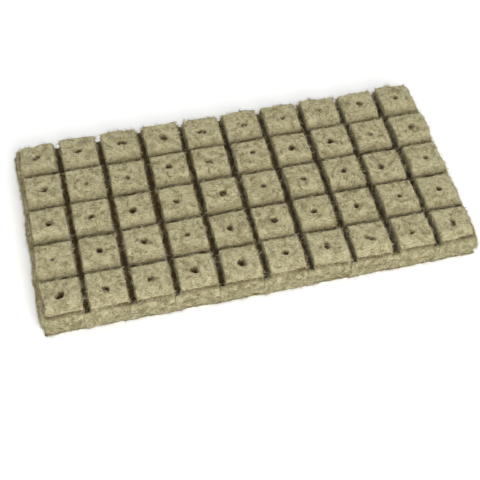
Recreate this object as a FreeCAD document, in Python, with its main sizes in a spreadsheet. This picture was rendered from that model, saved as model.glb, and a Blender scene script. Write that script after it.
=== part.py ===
import FreeCAD, Part
import math
import os
import Sketcher

# Stone-wool seed-starting sheet: fifty square plugs in five rows and ten columns.
#
# One flat mat of stone wool is sawn from above in both directions. The saw stops about
# half-way down, so the plugs stand free at the top and hang together at the foot. Every
# plug is punched with one seed hole, and is torn off its neighbours when it is planted.
#
# The sheet flexes at its nine cross kerfs. So each column is one strip of five plugs that
# meet foot to foot, and the uncut wool under each cross kerf is a web, the living hinge
# between two strips.
#
# Frame, in millimetres: the origin is the centre of the underside, +X runs along the
# columns from 1 to 10, +Y runs from row 5 to row 1, and +Z is up.

DRIVING_SIZES = [
    ("columns", 10, "plugs along X"),
    ("rows", 5, "plugs along Y"),
    ("pitch", 50, "centre to centre of two plugs"),
    ("kerf_width", 6, "width of a saw cut"),
    ("sheet_height", 40, "underside to plug tops"),
    ("web_height", 20, "uncut wool left under a saw cut"),
    ("shoulder_height", 31, "underside to the ledge round the sheet"),
    ("shoulder_width", 3, "how far that ledge stands out of the outer plugs"),
    ("corner_round", 3, "radius of a plug's upright edges"),
    ("top_round", 2, "radius round a plug's top"),
    ("hole_diameter", 6, "seed hole"),
    ("hole_depth", 12, "seed hole"),
]

HALF_SIDE = "(Sizes.pitch - Sizes.kerf_width) / 2"
HALF_PITCH = "Sizes.pitch / 2"
SHOULDER_FACE = f"{HALF_SIDE} + Sizes.shoulder_width"
HALF_DEPTH = f"(Sizes.rows - 1) * {HALF_PITCH} + {SHOULDER_FACE}"
NEAR = 1e-6  # two lengths in millimetres this close count as one


def make_sizes(doc):
    """The spreadsheet of driving sizes: name, value and note in a row, the value aliased."""
    sizes = doc.addObject("Spreadsheet::Sheet", "Sizes")
    for line, (name, value, note) in enumerate(DRIVING_SIZES, start=1):
        sizes.set(f"A{line}", name)
        sizes.set(f"B{line}", str(value))
        sizes.setAlias(f"B{line}", name)
        sizes.set(f"C{line}", note)
    doc.recompute()
    return sizes


def make_body(doc, name):
    """An empty body whose label is the name of the piece."""
    body = doc.addObject("PartDesign::Body", name)
    body.Label = name
    return body


def sketch_on(body, role, name):
    """A new sketch lying on one of the body's own origin planes."""
    plane = next(f for f in body.Origin.OriginFeatures if f.Role == role)
    sketch = body.newObject("Sketcher::SketchObject", name)
    sketch.AttachmentSupport = [(plane, "")]
    sketch.MapMode = "FlatFace"
    return sketch


def draw_outline(sketch, corners):
    """Closed outline of straight sides, each corner held by a pair of expressions."""
    start = [FreeCAD.Vector(i % 3, i, 0) for i in range(len(corners))]
    for here, there in zip(start, start[1:] + start[:1]):
        sketch.addGeometry(Part.LineSegment(here, there), False)
    for side in range(len(corners)):
        after = (side + 1) % len(corners)
        sketch.addConstraint(Sketcher.Constraint("Coincident", side, 2, after, 1))
    for side, corner in enumerate(corners):
        for kind, place in zip(("DistanceX", "DistanceY"), corner):
            held = sketch.addConstraint(Sketcher.Constraint(kind, -1, 1, side, 1, 1.0))
            sketch.setExpression(f"Constraints[{held}]", place)


def rectangle(west, east, south, north):
    """The four corners of an upright rectangle, as pairs of expressions."""
    return [(west, south), (east, south), (east, north), (west, north)]


def pad(body, name, corners, height):
    """A block that stands on the underside."""
    sketch = sketch_on(body, "XY_Plane", f"{name}_outline")
    draw_outline(sketch, corners)
    block = body.newObject("PartDesign::Pad", name)
    block.Profile = sketch
    block.setExpression("Length", height)
    return block


def round_edges(doc, body, base, name, wanted, radius):
    """Fillet the edges of the base feature that the test picks out."""
    doc.recompute()
    edges = [f"Edge{i}" for i, edge in enumerate(base.Shape.Edges, start=1) if wanted(edge)]
    fillet = body.newObject("PartDesign::Fillet", name)
    fillet.Base = (base, edges)
    fillet.setExpression("Radius", radius)
    return fillet


def punch_seed_hole(doc, body, sizes):
    """The blind hole in the middle of the plug's top."""
    doc.recompute()
    before = body.Shape.Volume
    sketch = sketch_on(body, "XY_Plane", "hole_outline")
    sketch.setExpression("AttachmentOffset.Base.z", "Sizes.sheet_height")
    circle = sketch.addGeometry(Part.Circle(), False)
    sketch.addConstraint(Sketcher.Constraint("Coincident", circle, 3, -1, 1))
    held = sketch.addConstraint(Sketcher.Constraint("Diameter", circle, 1.0))
    sketch.setExpression(f"Constraints[{held}]", "Sizes.hole_diameter")
    hole = body.newObject("PartDesign::Pocket", "seed_hole")
    hole.Profile = sketch
    hole.setExpression("Length", "Sizes.hole_depth")
    doc.recompute()
    cut = math.pi * sizes.hole_diameter ** 2 / 4 * sizes.hole_depth
    if abs(before - body.Shape.Volume - cut) > 0.001 * cut:
        raise RuntimeError(f"{body.Label}: the seed hole cut the wrong amount of wool")


def make_plug(doc, sizes, row, column):
    """One plug: foot, free-standing block, ledges on its outer sides and seed hole."""
    outer = {
        "west": column == 1,
        "east": column == sizes.columns,
        "south": row == sizes.rows,
        "north": row == 1,
    }
    body = make_body(doc, f"plug_r{row}_c{column}")
    # Along X a plug ends at its kerf. Along Y its foot reaches the next plug's foot.
    west = f"-({SHOULDER_FACE if outer['west'] else HALF_SIDE})"
    east = SHOULDER_FACE if outer["east"] else HALF_SIDE
    south = f"-({SHOULDER_FACE if outer['south'] else HALF_PITCH})"
    north = SHOULDER_FACE if outer["north"] else HALF_PITCH
    pad(body, "foot", rectangle(west, east, south, north), "Sizes.web_height")
    square = rectangle(f"-({HALF_SIDE})", HALF_SIDE, f"-({HALF_SIDE})", HALF_SIDE)
    latest = pad(body, "block", square, "Sizes.sheet_height")
    ledges = {
        "west": rectangle(west, f"-({HALF_SIDE})", south, north),
        "east": rectangle(HALF_SIDE, east, south, north),
        "south": rectangle(west, east, south, f"-({HALF_SIDE})"),
        "north": rectangle(west, east, HALF_SIDE, north),
    }
    for side, corners in ledges.items():
        if outer[side]:
            latest = pad(body, f"{side}_ledge", corners, "Sizes.shoulder_height")

    def upright(edge):
        low, high = edge.BoundBox.ZMin, edge.BoundBox.ZMax
        return low < high - NEAR and abs(high - sizes.sheet_height) < NEAR

    def on_top(edge):
        return edge.BoundBox.ZMin > sizes.sheet_height - NEAR

    latest = round_edges(doc, body, latest, "upright_rounds", upright, "Sizes.corner_round")
    round_edges(doc, body, latest, "top_round", on_top, "Sizes.top_round")
    punch_seed_hole(doc, body, sizes)
    body.setExpression("Placement.Base.x", f"({column} - (Sizes.columns + 1) / 2) * Sizes.pitch")
    body.setExpression("Placement.Base.y", f"((Sizes.rows + 1) / 2 - {row}) * Sizes.pitch")
    return body


def make_web(doc, column):
    """The uncut wool under the kerf between two columns.

    The kerf runs out at the row 1 side. At the row 5 side it stops short, so a thin wall
    as thick as the ledge closes its end.
    """
    body = make_body(doc, f"web_c{column}_c{column + 1}")
    sketch = sketch_on(body, "YZ_Plane", "web_profile")
    wall_face = f"-((Sizes.rows - 1) * {HALF_PITCH} + {HALF_SIDE})"
    draw_outline(
        sketch,
        [
            (f"-({HALF_DEPTH})", "0"),
            (HALF_DEPTH, "0"),
            (HALF_DEPTH, "Sizes.web_height"),
            (wall_face, "Sizes.web_height"),
            (wall_face, "Sizes.shoulder_height"),
            (f"-({HALF_DEPTH})", "Sizes.shoulder_height"),
        ],
    )
    web = body.newObject("PartDesign::Pad", "web")
    web.Profile = sketch
    web.Midplane = True
    web.setExpression("Length", "Sizes.kerf_width")
    body.setExpression("Placement.Base.x", f"({column} - Sizes.columns / 2) * Sizes.pitch")
    return body


def check_document(doc, pieces):
    """Stop if any object failed, or if a piece isn't one closed solid."""
    doc.recompute()
    for thing in doc.Objects:
        if "Invalid" in thing.State or "Error" in thing.State:
            raise RuntimeError(f"{thing.Label} failed: {thing.State}")
    for piece in pieces:
        shape = piece.Shape
        if shape.isNull() or not shape.isValid() or len(shape.Solids) != 1:
            raise RuntimeError(f"{piece.Label} isn't one valid solid")


def main():
    doc = FreeCAD.newDocument("stone_wool_plug_sheet")
    sizes = make_sizes(doc)
    pieces = []
    for column in range(1, int(sizes.columns) + 1):
        for row in range(1, int(sizes.rows) + 1):
            pieces.append(make_plug(doc, sizes, row, column))
    for column in range(1, int(sizes.columns)):
        pieces.append(make_web(doc, column))
    check_document(doc, pieces)
    os.makedirs("parts", exist_ok=True)
    for piece in pieces:
        piece.Shape.exportStep(f"parts/{piece.Label}.step")
    volume = sum(piece.Shape.Volume for piece in pieces)
    print(f"{len(pieces)} pieces, {volume / 1000:.1f} cubic centimetres")


main()
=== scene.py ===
import math
import random

import bmesh
import bpy
from mathutils import Matrix, Vector, noise


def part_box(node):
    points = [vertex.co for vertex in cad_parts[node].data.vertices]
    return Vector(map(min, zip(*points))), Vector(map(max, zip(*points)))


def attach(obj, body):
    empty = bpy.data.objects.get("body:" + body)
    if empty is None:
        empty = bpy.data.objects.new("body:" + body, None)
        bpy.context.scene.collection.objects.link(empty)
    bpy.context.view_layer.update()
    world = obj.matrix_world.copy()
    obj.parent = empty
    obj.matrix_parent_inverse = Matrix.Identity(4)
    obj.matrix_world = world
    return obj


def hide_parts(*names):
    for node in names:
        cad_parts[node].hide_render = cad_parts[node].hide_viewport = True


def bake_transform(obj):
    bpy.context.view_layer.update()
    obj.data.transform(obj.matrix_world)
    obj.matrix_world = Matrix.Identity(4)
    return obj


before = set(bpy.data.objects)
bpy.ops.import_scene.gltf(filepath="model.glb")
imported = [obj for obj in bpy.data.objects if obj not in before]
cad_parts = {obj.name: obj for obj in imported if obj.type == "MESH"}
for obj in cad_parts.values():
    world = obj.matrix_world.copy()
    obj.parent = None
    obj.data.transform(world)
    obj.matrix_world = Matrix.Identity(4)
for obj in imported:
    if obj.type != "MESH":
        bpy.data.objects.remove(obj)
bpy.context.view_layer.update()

# A sheet of stone-wool starter plugs: one mat of felted mineral fibre, sawn from above
# into five rows and ten columns of plugs that hang together at the foot.


# ---------------------------------------------------------------------------------------
# Camera, looking down on the sheet from the front and a little from the left.

AZIMUTH, ELEVATION, ROLL = math.radians(-15.73), math.radians(54.05), math.radians(2.39)
AIM = Vector((-0.0195, -0.0712, 0.040))
DISTANCE = 1.105
LENS, SENSOR = 74.0, 36.0     # mm

forward = Vector((
    -math.sin(AZIMUTH) * math.cos(ELEVATION),
    math.cos(AZIMUTH) * math.cos(ELEVATION),
    -math.sin(ELEVATION),
))
camera_data = bpy.data.cameras.new("camera")
camera_data.lens = LENS
camera_data.sensor_width = SENSOR
camera = bpy.data.objects.new("camera", camera_data)
bpy.context.scene.collection.objects.link(camera)
turn = forward.to_track_quat("-Z", "Y").to_matrix().to_4x4() @ Matrix.Rotation(ROLL, 4, "Z")
camera.matrix_world = Matrix.Translation(AIM - DISTANCE * forward) @ turn
bpy.context.scene.camera = camera


# ---------------------------------------------------------------------------------------
# The stage: a white floor that keeps the sheet's soft shadow, and plain studio light.


def linear(hex_colour):
    """A named sRGB colour as the linear values that the nodes work in."""
    parts = [int(hex_colour[i:i + 2], 16) / 255 for i in (1, 3, 5)]
    curve = [p / 12.92 if p <= 0.04045 else ((p + 0.055) / 1.055) ** 2.4 for p in parts]
    return (*curve, 1.0)


def add_node(material, kind, inputs=None, **settings):
    """A node with its settings. An input is given a value, or another node's output."""
    tree = material.node_tree
    node = tree.nodes.new(kind)
    for name, value in settings.items():
        setattr(node, name, value)
    for name, value in (inputs or {}).items():
        if isinstance(value, bpy.types.NodeSocket):
            tree.links.new(value, node.inputs[name])
        else:
            node.inputs[name].default_value = value
    return node


def new_material(name):
    """An empty node material and its output node."""
    material = bpy.data.materials.new(name)
    material.use_nodes = True
    material.node_tree.nodes.clear()
    return material, add_node(material, "ShaderNodeOutputMaterial")


def shown_rays(material):
    """1 for rays that show the backdrop: the camera's own, and those off gloss or through glass."""
    rays = add_node(material, "ShaderNodeLightPath")
    shown = rays.outputs["Is Camera Ray"]
    for kind in ("Is Glossy Ray", "Is Transmission Ray"):
        either = {0: shown, 1: rays.outputs[kind]}
        shown = add_node(material, "ShaderNodeMath", either, operation="MAXIMUM").outputs[0]
    return shown


PAPER_WHITE = "#f7f7f6"
STUDIO_WHITE = "#ffffff"
PAPER_GLOW = 0.22     # a little light of its own to the camera, so that it shows white
FLOOR_SIZE = 30.0
FLOOR_DROP = 0.0006   # just under the sheet, so that the two surfaces don't coincide

floor_paper, floor_out = new_material("matt_paper_sweep")
paper = add_node(floor_paper, "ShaderNodeBsdfDiffuse", {"Color": linear(PAPER_WHITE)})
both = {0: shown_rays(floor_paper), 1: PAPER_GLOW}
share = add_node(floor_paper, "ShaderNodeMath", both, operation="MULTIPLY")
white = {"Color": linear(STUDIO_WHITE), "Strength": share.outputs[0]}
glow = add_node(floor_paper, "ShaderNodeEmission", white)
both = {0: paper.outputs["BSDF"], 1: glow.outputs["Emission"]}
lit = add_node(floor_paper, "ShaderNodeAddShader", both)
floor_paper.node_tree.links.new(lit.outputs["Shader"], floor_out.inputs["Surface"])

floor_mesh = bmesh.new()
bmesh.ops.create_grid(floor_mesh, x_segments=2, y_segments=2, size=FLOOR_SIZE / 2)
floor_data = bpy.data.meshes.new("floor")
floor_mesh.to_mesh(floor_data)
floor_mesh.free()
floor_data.materials.append(floor_paper)
floor = bpy.data.objects.new("floor", floor_data)
bpy.context.scene.collection.objects.link(floor)
floor.location.z = -FLOOR_DROP

SKY_STRENGTH = 0.66   # what the sky gives the sheet; it shows at a strength of 1
world = bpy.data.worlds.new("studio")
bpy.context.scene.world = world
world.use_nodes = True
sky = world.node_tree.nodes["Background"]
sky.inputs["Color"].default_value = linear(STUDIO_WHITE)
white_or_sky = {"Value": shown_rays(world), "To Min": SKY_STRENGTH}
strength = add_node(world, "ShaderNodeMapRange", white_or_sky)
world.node_tree.links.new(strength.outputs["Result"], sky.inputs["Strength"])


# One square soft box in front, facing the middle of the sheet.
BOX_PLACE = Vector((0.1, -1.5, 1.25))
BOX_SIDE = 0.9
BOX_POWER = 24

lamp = bpy.data.lights.new("soft_box", "AREA")
lamp.shape = "SQUARE"
lamp.size = BOX_SIDE
lamp.energy = BOX_POWER
soft_box = bpy.data.objects.new("soft_box", lamp)
bpy.context.scene.collection.objects.link(soft_box)
soft_box.location = BOX_PLACE
soft_box.rotation_euler = (-BOX_PLACE).to_track_quat("-Z", "Y").to_euler()

bpy.context.scene.view_settings.view_transform = "Standard"


# ---------------------------------------------------------------------------------------
# Stone wool: rock melted and spun into fibres a few microns thick, felted with a binder
# into an olive-beige mat. It is matt and fuzzy, mottled where fibres bunch, with brown
# specks of binder. Deep in a saw cut hardly any light comes back out; that shade is painted into
# the colour as a brown.

WOOL_PALE = "#cdc6a0"
WOOL_MIDDLE = "#aba37d"
WOOL_SHADED = "#8b825b"
BINDER_SPECK = "#5d5238"
# Painted shade: the brown the wool shows in the shade of cuts, grooves and hole mouths.
PAINTED_SHADE_BROWN = "#513e1c"
LOOSE_FIBRE = "#e6e0c2"
FIBRE_DARK = "#8b8159"
# Painted shade on loose fibres that lie in the cuts.
FIBRE_IN_PAINTED_SHADE = "#7d6430"

MM = 0.001
TUFT = 9.0 * MM               # bunches of fibre that lie the same way
STREAK = (3.2 * MM, 0.8 * MM, 0.8 * MM)   # strands, coarser than real fibres so that they show
SWIRL = 16.0 * MM             # how far apart the strands change direction
SWIRL_REACH = 9.0 * MM
SPECK = 2.2 * MM              # spacing of the binder specks
FELT_DEPTH = 1.2 * MM         # how deep the strands of the felt are

FIRST, SECOND, MIXED = 6, 7, 2    # where a Mix node keeps its two colours and their mix

wool, wool_out = new_material("felted_stone_wool")
place = add_node(wool, "ShaderNodeTexCoord").outputs["Object"]
painted_shade = add_node(wool, "ShaderNodeAttribute", attribute_name="painted_shade").outputs["Fac"]

# Bunches, from shaded to middling.
pattern = {"Vector": place, "Scale": 1 / TUFT, "Detail": 3.0, "Roughness": 0.6}
tufts = add_node(wool, "ShaderNodeTexNoise", pattern)
band = {"Value": tufts.outputs["Fac"], "From Min": 0.30, "From Max": 0.62}
share = add_node(wool, "ShaderNodeMapRange", band, interpolation_type="SMOOTHSTEP")
pair = {0: share.outputs["Result"], FIRST: linear(WOOL_SHADED), SECOND: linear(WOOL_MIDDLE)}
mottle = add_node(wool, "ShaderNodeMix", pair, data_type="RGBA").outputs[MIXED]

# Pale strands, whose direction wanders.
pattern = {"Vector": place, "Scale": 1 / SWIRL, "Detail": 1.0}
swirl = add_node(wool, "ShaderNodeTexNoise", pattern)
reach = {"Vector": swirl.outputs["Color"], "Scale": SWIRL_REACH}
moved = add_node(wool, "ShaderNodeVectorMath", reach, operation="SCALE")
both = {0: place, 1: moved.outputs["Vector"]}
swirled = add_node(wool, "ShaderNodeVectorMath", both, operation="ADD")
stretch = {"Vector": swirled.outputs["Vector"], "Scale": [1 / size for size in STREAK]}
strands = add_node(wool, "ShaderNodeMapping", stretch)
pattern = {"Vector": strands.outputs["Vector"], "Scale": 1.0, "Detail": 2.0, "Roughness": 0.6}
streaks = add_node(wool, "ShaderNodeTexNoise", pattern)
band = {"Value": streaks.outputs["Fac"], "From Min": 0.34, "From Max": 0.72}
share = add_node(wool, "ShaderNodeMapRange", band, interpolation_type="SMOOTHSTEP")
pair = {0: share.outputs["Result"], FIRST: mottle, SECOND: linear(WOOL_PALE)}
fibres = add_node(wool, "ShaderNodeMix", pair, data_type="RGBA").outputs[MIXED]

# Specks of binder, then the painted shade of cuts, grooves and hole mouths over everything, in
# brown.
pattern = {"Vector": place, "Scale": 1 / SPECK, "Detail": 2.0, "Distortion": 0.8}
specks = add_node(wool, "ShaderNodeTexNoise", pattern)
band = {"Value": specks.outputs["Fac"], "From Min": 0.69, "From Max": 0.82, "To Max": 0.5}
share = add_node(wool, "ShaderNodeMapRange", band, interpolation_type="SMOOTHSTEP")
pair = {0: share.outputs["Result"], FIRST: fibres, SECOND: linear(BINDER_SPECK)}
flecked = add_node(wool, "ShaderNodeMix", pair, data_type="RGBA").outputs[MIXED]
pair = {0: painted_shade, FIRST: flecked, SECOND: linear(PAINTED_SHADE_BROWN)}
colour = add_node(wool, "ShaderNodeMix", pair, data_type="RGBA").outputs[MIXED]

felt = {"Height": streaks.outputs["Fac"], "Strength": 0.5, "Distance": FELT_DEPTH}
bump = add_node(wool, "ShaderNodeBump", felt)
surface = {
    "Base Color": colour,
    "Normal": bump.outputs["Normal"],
    "Roughness": 0.95,
    "Specular IOR Level": 0.15,
    "Sheen Weight": 0.12,
    "Sheen Roughness": 0.6,
}
shader = add_node(wool, "ShaderNodeBsdfPrincipled", surface)
wool.node_tree.links.new(shader.outputs["BSDF"], wool_out.inputs["Surface"])

# Loose fibres are the same rock wool, pulled out of the mat by the saw. Each has a shade
# of its own, from the mat's shaded olive to nearly white where it stands in the light.
loose_wool, loose_out = new_material("loose_stone_wool")
painted_shade = add_node(loose_wool, "ShaderNodeAttribute", attribute_name="painted_shade").outputs["Fac"]
shade = add_node(loose_wool, "ShaderNodeAttribute", attribute_name="shade").outputs["Fac"]
colour = linear(FIBRE_DARK)
for low, high, lighter in ((0.0, 0.5, WOOL_MIDDLE), (0.5, 1.0, LOOSE_FIBRE)):
    band = {"Value": shade, "From Min": low, "From Max": high}
    share = add_node(loose_wool, "ShaderNodeMapRange", band, interpolation_type="SMOOTHSTEP")
    pair = {0: share.outputs["Result"], FIRST: colour, SECOND: linear(lighter)}
    colour = add_node(loose_wool, "ShaderNodeMix", pair, data_type="RGBA").outputs[MIXED]
# Fibres lying in painted shade take a brown, like the wool around them.
pair = {0: painted_shade, FIRST: colour, SECOND: linear(FIBRE_IN_PAINTED_SHADE)}
colour = add_node(loose_wool, "ShaderNodeMix", pair, data_type="RGBA").outputs[MIXED]
surface = {"Base Color": colour, "Roughness": 0.9, "Specular IOR Level": 0.2}
shader = add_node(loose_wool, "ShaderNodeBsdfPrincipled", surface)
loose_wool.node_tree.links.new(shader.outputs["BSDF"], loose_out.inputs["Surface"])


# ---------------------------------------------------------------------------------------
# The starter plugs: square blocks left standing between the saw cuts. The cuts are
# ragged, each plug leans and slumps a little, and its edges are rounded and fuzzy.

plug_low, plug_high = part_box("plug_r3_c5")
PLUG_TOP = plug_high.z
PITCH = plug_high.y - plug_low.y
NAP = 1.0 * MM            # the loose fibres stand this far out of the solid wool
HALF_SIDE = (plug_high.x - plug_low.x) / 2 - NAP
ROWS = sum(node.startswith("plug") and node.endswith("_c1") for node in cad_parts)
COLUMNS = sum(node.startswith("plug_r1_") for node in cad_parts)
LEDGE_HEIGHT = 31 * MM
FOOT_HEIGHT = 20 * MM
EDGE_ROUND = 2.5 * MM
SQUARES = 28              # little squares along each side of a plug's block
TOWARDS_TOP = 1.2         # above 1, the squares get smaller towards the top
ON_FACE = 0.999           # template points past this lie on the block's own face
STEP_SOFTNESS = 0.9 * MM
HOLE_DEPTH = 9 * MM
HOLE_WIDTHS = (2.4, 3.3, 3.6, 3.9, 4.3)   # mm out from the line of the tear
PRESSED, PRESSED_REACH = 1.2 * MM, 6.5 * MM   # the dimple that the punch left round the hole
SLIT_FILL = 0.7 * MM      # the loose wool that narrows the cuts between rows
CORNER_ROUND = 1.5 * MM
SHEET_CORNER_ROUND = 7 * MM
CREASED_SHARE = 0.45
CREASE_HALF_WIDTH, CREASE_WANDER = 3.2 * MM, 3 * MM
PILLOW = 3.8 * MM         # how far the top sinks towards the plug's front
SCALLOP = 2.2 * MM        # the sheet's own sides swell and shrink from plug to plug
HEM = 3.2 * MM            # the sheet's bottom edge is drawn in
BULGE = 1.5 * MM          # how far the uncut skirt swells out below its ledge
GROOVE_DEPTH = 2.6 * MM   # above the ledge, where the trimming saw bit a little further in
GROOVE_OPENS, GROOVE_CLOSES = (-1 * MM, 0.8 * MM), (3 * MM, 9.5 * MM)   # above the ledge
GROOVE_WANDER = 22 * MM   # how far apart the groove fades and comes back
CORNER_FADE = 3 * MM      # a plug's upright corners become round over this height
HARDLY_ROUND = 0.01 * MM
SINK_REACH = 12 * MM      # how far in from its back and front edges the top sinks
SINK_AT_BACK = 0.2        # of what it sinks at the front
PAINTED_SHADE_FROM = 2 * MM        # a kerf's walls get painted shade from here below the top
PAINTED_SHADE_FULL_LEFT, PAINTED_SHADE_FULL_RIGHT = 15 * MM, 10 * MM   # painted shade is full this far down on a plug's left and right walls
ROW_CUT_PAINTED_SHADE = 13 * MM    # painted shade is full this far down in the cuts between rows
FRONT_EDGE_PAINTED_SHADE = 0.42    # painted shade on the rolled front edge, which leans into the cut
SEED = 50
random.seed(SEED)
noise.seed_set(SEED)      # or the noise vectors differ from run to run


def eased(value, low, high):
    """Smooth step: 0 below low, 1 above high."""
    share = min(max((value - low) / (high - low), 0.0), 1.0)
    return share * share * (3 - 2 * share)


def block_template():
    """A cube from -1 to 1 with its sides cut into small squares, as a mesh to copy."""
    block = bmesh.new()
    bmesh.ops.create_cube(block, size=2.0)
    bmesh.ops.subdivide_edges(
        block, edges=block.edges[:], cuts=SQUARES - 1, use_grid_fill=True
    )
    mesh = bpy.data.meshes.new("block_template")
    block.to_mesh(mesh)
    block.free()
    return mesh


LUMP_SPACING, LUMP_MM = 13 * MM, 0.8
TUFT_SPACING, TUFT_MM = 4.2 * MM, 0.25
END_SPACING, END_MM = 1.7 * MM, 0.5


def raggedness(place):
    """How far the wool surface stands out at a place: lumps, tufts and fibre ends."""
    lumps = noise.noise(place / LUMP_SPACING)
    swirl = noise.noise_vector(place / (8 * MM)) * 0.8
    tufts = noise.noise(place / TUFT_SPACING + swirl)
    ends = noise.noise(place / END_SPACING + swirl * 2)
    return (LUMP_MM * lumps + TUFT_MM * tufts + END_MM * ends) * MM


def skirt_swell(place):
    """How far a side of the sheet stands out at a place below or just above its ledge."""
    swell = BULGE * (1 - eased(abs(place.z - LEDGE_HEIGHT + 9 * MM), 2 * MM, 9 * MM))
    swell += SCALLOP * noise.noise(place / (26 * MM))
    return swell - HEM * (1 - eased(place.z, 0, 7 * MM))


class Plug:
    """Where a plug stands, which sides are the sheet's own, its seed hole and its slump."""

    def __init__(self, row, column):
        self.name = f"plug_r{row}_c{column}"
        self.body = f"strip_c{column}"
        self.centre = Vector((
            (column - (COLUMNS + 1) / 2) * PITCH,
            ((ROWS + 1) / 2 - row) * PITCH,
            0,
        ))
        self.outer_x = {-1: column == 1, 1: column == COLUMNS}
        self.outer_y = {-1: row == ROWS, 1: row == 1}
        self.slump = Vector((random.gauss(0, 0.5), random.gauss(0, 0.5), 0)) * MM
        self.rise = max(min(random.gauss(-0.2, 0.6), 0.8), -1.6) * MM
        self.tilt = Vector((random.gauss(0, 0.014), random.gauss(0, 0.014), 0))
        self.twist = Matrix.Rotation(random.gauss(0, 0.014), 3, "Z")
        self.tight = random.uniform(0.965, 1.005)
        self.rounding = EDGE_ROUND * random.uniform(0.8, 1.35)
        self.hole_at = Vector((random.gauss(0, 1.3), random.gauss(0.5, 1.3), 0)) * MM
        self.hole_turn = random.uniform(0, math.tau)
        self.hole_bend = random.uniform(0.7, 3.0)
        self.hole_reach = random.uniform(0.3, 3.4) * MM
        self.hole_wide = random.choice(HOLE_WIDTHS) * MM
        self.crease = self.pick_crease()

    def pick_crease(self):
        """Some plugs have a fold across the top, where the mat was pressed unevenly."""
        if random.random() > CREASED_SHARE:
            return None
        along = random.uniform(-0.5, 0.5)
        way = Vector((math.cos(along), math.sin(along), 0))
        return way, random.uniform(-15, 15) * MM, random.uniform(0.4, 1.1) * MM

    def hole_sink(self, flat):
        """How deep the punch pressed the wool at a place on the top, and the share of painted shade
        in the hole.
        """
        start = Vector((math.cos(self.hole_turn), math.sin(self.hole_turn), 0))
        turned = self.hole_turn + self.hole_bend
        end = Vector((math.cos(turned), math.sin(turned), 0))
        away = flat - self.hole_at
        near = min(
            (away - way * min(max(away.dot(way), 0.0), self.hole_reach)).length
            for way in (start, end)
        )
        near += 0.35 * MM * noise.noise((flat + self.centre) / (1.5 * MM))
        pressed = PRESSED * (1 - eased(near, 0, PRESSED_REACH))
        punched = HOLE_DEPTH * (1 - eased(near, 0.25 * self.hole_wide, self.hole_wide))
        return pressed + punched, eased(punched, 0.3 * MM, 3.5 * MM)

    def shape(self, corner):
        """A point of the template as a point of the plug, its outward way and its share of painted
        shade.
        """
        side_x, side_y = math.copysign(1, corner.x), math.copysign(1, corner.y)
        z = PLUG_TOP * (1 - (1 - (corner.z + 1) / 2) ** TOWARDS_TOP)
        out_x, out_y = self.outer_x[side_x], self.outer_y[side_y]
        step_x = LEDGE_HEIGHT if out_x else FOOT_HEIGHT
        step_y = LEDGE_HEIGHT if out_y else FOOT_HEIGHT

        # The block is wider below its step: at the ledge outside, at the foot inside.
        spread = PITCH / 2 - HALF_SIDE
        spread_x = spread - NAP if out_x else NAP
        spread_y = spread - NAP if out_y else spread
        fill_y = 0.0 if out_y else SLIT_FILL * (1 + 0.7 * eased(PLUG_TOP - z, 0, 10 * MM))
        below_x = 1 - eased(z, step_x - STEP_SOFTNESS, step_x + STEP_SOFTNESS)
        below_y = 1 - eased(z, step_y - STEP_SOFTNESS, step_y + STEP_SOFTNESS)
        half_x = HALF_SIDE + spread_x * below_x
        half_y = HALF_SIDE + fill_y + (spread_y - fill_y) * below_y
        x = corner.x * HALF_SIDE + side_x * (half_x - HALF_SIDE) * max(abs(corner.x) * 10 - 9, 0)
        y = corner.y * HALF_SIDE + side_y * (half_y - HALF_SIDE) * max(abs(corner.y) * 10 - 9, 0)

        # Edges and corners are rounded about a smaller core.
        round_here = SHEET_CORNER_ROUND if out_x and out_y else CORNER_ROUND
        if not (out_x and out_y):
            step = max(step_x, step_y)
            round_here *= eased(z, step, step + CORNER_FADE)
        round_here = max(round_here, HARDLY_ROUND)
        radii = Vector((round_here, round_here, self.rounding))
        core = Vector((
            min(max(x, round_here - half_x), half_x - round_here),
            min(max(y, round_here - half_y), half_y - round_here),
            min(z, PLUG_TOP - self.rounding),
        ))
        place = Vector((x, y, z))
        outward = Vector([(p - c) / r for p, c, r in zip(place, core, radii)])
        on_wall_x, on_wall_y = abs(corner.x) > ON_FACE, abs(corner.y) > ON_FACE
        if corner.z < -ON_FACE:
            outward = Vector((0, 0, -1))
        elif outward.length > 1e-7:
            outward.normalize()
            place = core + Vector([way * r for way, r in zip(outward, radii)])
        elif on_wall_y and out_y:
            outward = Vector((0, side_y, 0))
        elif on_wall_x:
            outward = Vector((side_x, 0, 0))
        else:
            outward = Vector()

        # The sheet's own sides get their groove and swell, with painted shade in the groove. A
        # kerf's wall gets painted shade that darkens downwards.
        dark = 0.0
        if (on_wall_x and out_x) or (on_wall_y and out_y):
            above = z - LEDGE_HEIGHT
            groove = eased(above, *GROOVE_OPENS) * (1 - eased(above, *GROOVE_CLOSES))
            groove *= 0.9 + 0.9 * noise.noise((place + self.centre) / GROOVE_WANDER)
            swell = skirt_swell(place + self.centre)
            place = place + outward * (swell - GROOVE_DEPTH * max(groove, 0.0))
            # Painted shade in the groove above the ledge.
            dark = min(0.9 * max(groove, 0.0), 0.9)
        elif on_wall_x and not out_x and not (on_wall_y and out_y):
            # Painted shade on a kerf's wall, darker further below the top.
            dark = eased(PLUG_TOP - z, PAINTED_SHADE_FROM, PAINTED_SHADE_FULL_LEFT if side_x < 0 else PAINTED_SHADE_FULL_RIGHT)
            if out_y:
                dark *= eased(half_y - abs(y), -2 * MM, 8 * MM)
        elif on_wall_y and not out_y and not (on_wall_x and out_x):
            # Painted shade in the cuts between rows, darker further below the top.
            dark = 0.3 + 0.7 * eased(PLUG_TOP - z, 0.5 * MM, ROW_CUT_PAINTED_SHADE)
            dark *= 0.9 + 0.8 * noise.noise((place + self.centre) / (12 * MM))

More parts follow.
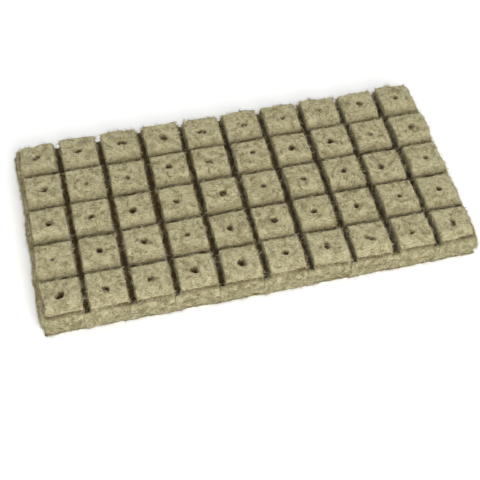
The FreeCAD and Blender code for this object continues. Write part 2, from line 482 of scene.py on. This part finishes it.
        # The top sinks towards the plug's back and front edges, most of all at the front.
        sunk = 1 - eased(half_y - abs(y), 0, SINK_REACH)
        sunk *= 1.0 if side_y < 0 else SINK_AT_BACK
        place.z -= PILLOW * sunk * eased(z, PLUG_TOP - SINK_REACH, PLUG_TOP)
        # Painted shade on the front edge, where the top rolls down into the cut.
        if side_y < 0 and not out_y:
            near_edge = 1 - eased(half_y - abs(y), -1 * MM, 8 * MM)
            dark = max(dark, FRONT_EDGE_PAINTED_SHADE * near_edge)
        return place, outward, dark

    def in_hole(self, place):
        """Whether a place on the top lies in the mouth of the seed hole."""
        from_hole = place - self.centre - self.hole_at
        return place.z > LEDGE_HEIGHT - 3 * MM and from_hole.to_2d().length < self.hole_wide

    def settle(self, place):
        """Lean, twist and shrink the free upper part of the plug."""
        share = eased(place.z, FOOT_HEIGHT, PLUG_TOP)
        leant = self.twist @ place * self.tight
        leant.z = place.z + self.rise + self.tilt.dot(place)
        return place.lerp(leant + self.slump, share)


FIBRE_RADIUS = 0.24 * MM   # real fibres are far thinner; these are as thick as a loose strand
FIBRE_POINTS = 3
FIBRES_PER_CM2 = 34
NAP_SWIRL = 18 * MM        # how far apart the fibres change direction
LONGEST_FIBRE = 8.5        # mm
STRAYS_ON_SIDES, STRAYS_ON_TOP = 0.3, 0.05   # shares of thin fibres that stand well out
SIDE_NAP, RIM_NAP, KERF_NAP = 2.0, 1.7, 0.5   # how thick it is beside about 0.9 on top
BARE_BELOW = 1.5 * MM      # no nap this near to the floor


# A fibre's section: three-sided, because there are tens of thousands of them.
section_data = bpy.data.curves.new("fibre_section", "CURVE")
section = section_data.splines.new("POLY")
section.points.add(2)
for point, turned in zip(section.points, (0, math.tau / 3, 2 * math.tau / 3)):
    point.co = (FIBRE_RADIUS * math.cos(turned), FIBRE_RADIUS * math.sin(turned), 0, 1)
section.use_cyclic_u = True
fibre_section = bpy.data.objects.new("fibre_section", section_data)
bpy.context.scene.collection.objects.link(fibre_section)


def fibre_curves(roots):
    """Thin tapering fibres as one curve object. A root is a place, two ways and sizes."""
    data = bpy.data.curves.new("strands", "CURVE")
    data.dimensions = "3D"
    data.bevel_mode = "OBJECT"
    data.bevel_object = fibre_section
    data.use_fill_caps = True
    for place, way, outward, length, thickness, stray in roots:
        bend = way.cross(outward) * random.uniform(-0.5, 0.5)
        lift = random.uniform(0.3, 0.7) if stray else random.uniform(0.03, 0.22)
        spline = data.splines.new("POLY")
        spline.points.add(FIBRE_POINTS - 1)
        flat, radii = [], []
        for step in range(FIBRE_POINTS):
            share = step / (FIBRE_POINTS - 1)
            rise = math.sin(share * math.pi * (0.5 if stray else 0.8)) * lift - 0.05 * (1 - share)
            at = place + (way * share + bend * share * share + outward * rise) * length
            at.z = max(at.z, FIBRE_RADIUS)
            flat += [*at, 1.0]
            radii.append(thickness * (1.0 - 0.8 * share))
        spline.points.foreach_set("co", flat)
        spline.points.foreach_set("radius", radii)
    return bpy.data.objects.new("strands", data)


def nap(surface, painted_shade_layer, weight_of):
    """Pick fibre roots over a surface, lying in swirls, denser where the weight is high."""
    faces = [(face, weight_of(face) * face.calc_area()) for face in surface.faces]
    faces = [(face, weight) for face, weight in faces if weight > 0]
    count = int(sum(weight for _, weight in faces) * 1e4 * FIBRES_PER_CM2)
    roots, darks = [], []
    for face, _ in random.choices(faces, [weight for _, weight in faces], k=count):
        corner = random.choice(face.verts)
        if corner[painted_shade_layer] > 0.6 and face.normal.z > 0.3:
            continue
        place = face.calc_center_median().lerp(corner.co, random.random())
        outward = face.normal.copy()
        swirl = noise.noise(place / NAP_SWIRL) * math.tau * 1.6 + random.gauss(0, 0.35)
        way = Vector((math.cos(swirl), math.sin(swirl), random.gauss(0, 0.5)))
        way = way - outward * way.dot(outward)
        if way.length < 0.05:
            continue
        stray = random.random() < (STRAYS_ON_SIDES if outward.z < 0.8 else STRAYS_ON_TOP)
        length = min(random.lognormvariate(1.5, 0.4), LONGEST_FIBRE) * MM
        thickness = random.uniform(0.35, 0.6) if stray else random.uniform(0.6, 1.5)
        roots.append((place, way.normalized(), outward, length, thickness, stray))
        darks.append(corner[painted_shade_layer])
    return roots, darks


def add_fibres(surface, painted_shade_layer, weight_of):
    """Grow fibres on a surface and join them to it, in the second material."""
    roots, darks = nap(surface, painted_shade_layer, weight_of)
    strands = fibre_curves(roots)
    bpy.context.scene.collection.objects.link(strands)
    grown = strands.evaluated_get(bpy.context.evaluated_depsgraph_get())
    mesh = bpy.data.meshes.new_from_object(grown)
    verts_each = len(mesh.vertices) // len(roots)
    shades = [random.random() for _ in roots]
    for layer, values in (("painted_shade", darks), ("shade", shades)):
        spread = [values[vert.index // verts_each] for vert in mesh.vertices]
        mesh.attributes.new(layer, "FLOAT", "POINT").data.foreach_set("value", spread)
    mesh.polygons.foreach_set("material_index", [1] * len(mesh.polygons))
    surface.from_mesh(mesh)
    curve = strands.data
    bpy.data.objects.remove(strands)
    bpy.data.curves.remove(curve)
    bpy.data.meshes.remove(mesh)


def finished_piece(surface, name):
    """The surface as a smooth mesh object in the two wool materials."""
    for face in surface.faces:
        face.smooth = True
    data = bpy.data.meshes.new(name)
    surface.to_mesh(data)
    surface.free()
    data.materials.append(wool)
    data.materials.append(loose_wool)
    piece = bpy.data.objects.new(name, data)
    bpy.context.scene.collection.objects.link(piece)
    return piece


def make_plug(plug, template):
    """One plug: shaped block, punched hole and nap."""
    surface = bmesh.new()
    surface.from_mesh(template)
    near_hole = [
        edge
        for edge in surface.edges
        if all(vert.co.z > ON_FACE for vert in edge.verts)
        and ((edge.verts[0].co + edge.verts[1].co) * HALF_SIDE / 2 - plug.hole_at).to_2d().length
        < 5 * MM
    ]
    bmesh.ops.subdivide_edges(surface, edges=near_hole, cuts=1, use_grid_fill=True)
    painted_shade_layer = surface.verts.layers.float.new("painted_shade")
    surface.verts.layers.float.new("shade")
    for vert in surface.verts:
        on_top = vert.co.z > ON_FACE
        place, outward, dark = plug.shape(vert.co)
        rough = raggedness(place + plug.centre)
        if outward.z < -0.9:
            rough = -abs(rough)
        if on_top:
            # The mouth of the seed hole gets painted shade.
            sink, hole_painted_shade = plug.hole_sink(Vector((place.x, place.y, 0)))
            dark = max(dark, hole_painted_shade)
            place.z -= sink
            if plug.crease:
                way, offset, depth = plug.crease
                across = way.cross(Vector((0, 0, 1))).dot(place) - offset
                across += CREASE_WANDER * noise.noise((place + plug.centre) / (11 * MM))
                place.z -= depth * (1 - eased(abs(across), 0, CREASE_HALF_WIDTH))
        place = plug.settle(place + outward * rough)
        vert.co = place + plug.centre
        vert[painted_shade_layer] = dark
    surface.normal_update()

    def fluff(face):
        middle = face.calc_center_median()
        if face.normal.z < -0.6 or middle.z < BARE_BELOW:
            return 0.0
        from_centre = middle - plug.centre
        side_x, side_y = math.copysign(1, from_centre.x), math.copysign(1, from_centre.y)
        if plug.in_hole(middle):
            return 0.0
        if face.normal.z > 0.7 and middle.z > LEDGE_HEIGHT + 3 * MM:
            return 0.9 + 1.1 * noise.noise(middle / (6 * MM))
        facing_x = abs(face.normal.x) > abs(face.normal.y)
        open_side = plug.outer_x[side_x] if facing_x else plug.outer_y[side_y]
        if open_side:
            return SIDE_NAP
        if middle.z > PLUG_TOP - 6 * MM:
            return RIM_NAP
        return KERF_NAP if middle.z > FOOT_HEIGHT + 4 * MM else 0.0

    add_fibres(surface, painted_shade_layer, fluff)
    piece = finished_piece(surface, f"{plug.name}_wool")
    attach(piece, plug.body)
    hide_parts(plug.name)


template = block_template()
for column in range(1, COLUMNS + 1):
    for row in range(1, ROWS + 1):
        make_plug(Plug(row, column), template)


# ---------------------------------------------------------------------------------------
# The webs: the uncut wool under each cross kerf. The
# saw runs out at the back, and rises out of the mat before it reaches the front.

WEB_OVERLAP = 0.8 * MM    # a web reaches this far into the plugs' feet on both sides
WEB_SQUARES = (7, 120, 12)    # across its kerf, along it and upwards
RUN_OUT = 11 * MM         # the saw leaves the mat over this length
WEB_END_NAP, WEB_TOP_NAP = 1.6, 0.6


def web_template():
    """A cube from -1 to 1 cut finely along its length."""
    bar = bmesh.new()
    bmesh.ops.create_cube(bar, size=2.0)
    for axis, squares in enumerate(WEB_SQUARES):
        along = [
            edge
            for edge in bar.edges
            if abs((edge.verts[0].co - edge.verts[1].co)[axis]) > 1e-4
        ]
        bmesh.ops.subdivide_edges(bar, edges=along, cuts=squares - 1, use_grid_fill=True)
    mesh = bpy.data.meshes.new("web_template")
    bar.to_mesh(mesh)
    bar.free()
    return mesh


def make_web(column, template):
    """One web, spanning its kerf."""
    name = f"web_c{column}_c{column + 1}"
    low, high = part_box(name)
    middle = (low.x + high.x) / 2
    half_wide = (high.x - low.x) / 2 + WEB_OVERLAP
    surface = bmesh.new()
    surface.from_mesh(template)
    painted_shade_layer = surface.verts.layers.float.new("painted_shade")
    surface.verts.layers.float.new("shade")
    for vert in surface.verts:
        corner = vert.co.copy()
        y = corner.y * high.y
        from_front = y - low.y
        run_out = 1 - eased(from_front, 1.5 * MM, RUN_OUT)
        top = FOOT_HEIGHT + (LEDGE_HEIGHT - FOOT_HEIGHT) * run_out
        place = Vector((middle + corner.x * half_wide, y, top * (corner.z + 1) / 2))
        outward = Vector((0, 0, 0))
        # Painted shade: the web's top and sides lie deep in the kerf and are shaded, except where
        # the saw runs out and the top rises to the ledge; its ends are not shaded.
        dark = 1.0
        if abs(corner.y) > ON_FACE:
            outward.y = corner.y
            dark = 0.0
        if corner.z > ON_FACE:
            outward.z = 1.0
            dark = 1 - 0.75 * eased(run_out, 0.1, 0.9)
        rough = raggedness(place)
        if outward.y:
            rough += skirt_swell(place)
        vert.co = place + outward * rough
        if corner.z < -ON_FACE:
            vert.co.z += abs(rough)
        vert[painted_shade_layer] = dark
    surface.normal_update()

    def fluff(face):
        middle_place = face.calc_center_median()
        if abs(face.normal.y) > 0.6 and middle_place.z > BARE_BELOW:
            return WEB_END_NAP
        return WEB_TOP_NAP if face.normal.z > 0.6 else 0.0

    add_fibres(surface, painted_shade_layer, fluff)
    piece = finished_piece(surface, f"{name}_wool")
    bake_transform(piece)
    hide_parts(name)


bar_template = web_template()
for column in range(1, COLUMNS):
    make_web(column, bar_template)

bpy.data.objects.remove(fibre_section)
bpy.data.meshes.remove(template)
bpy.data.meshes.remove(bar_template)
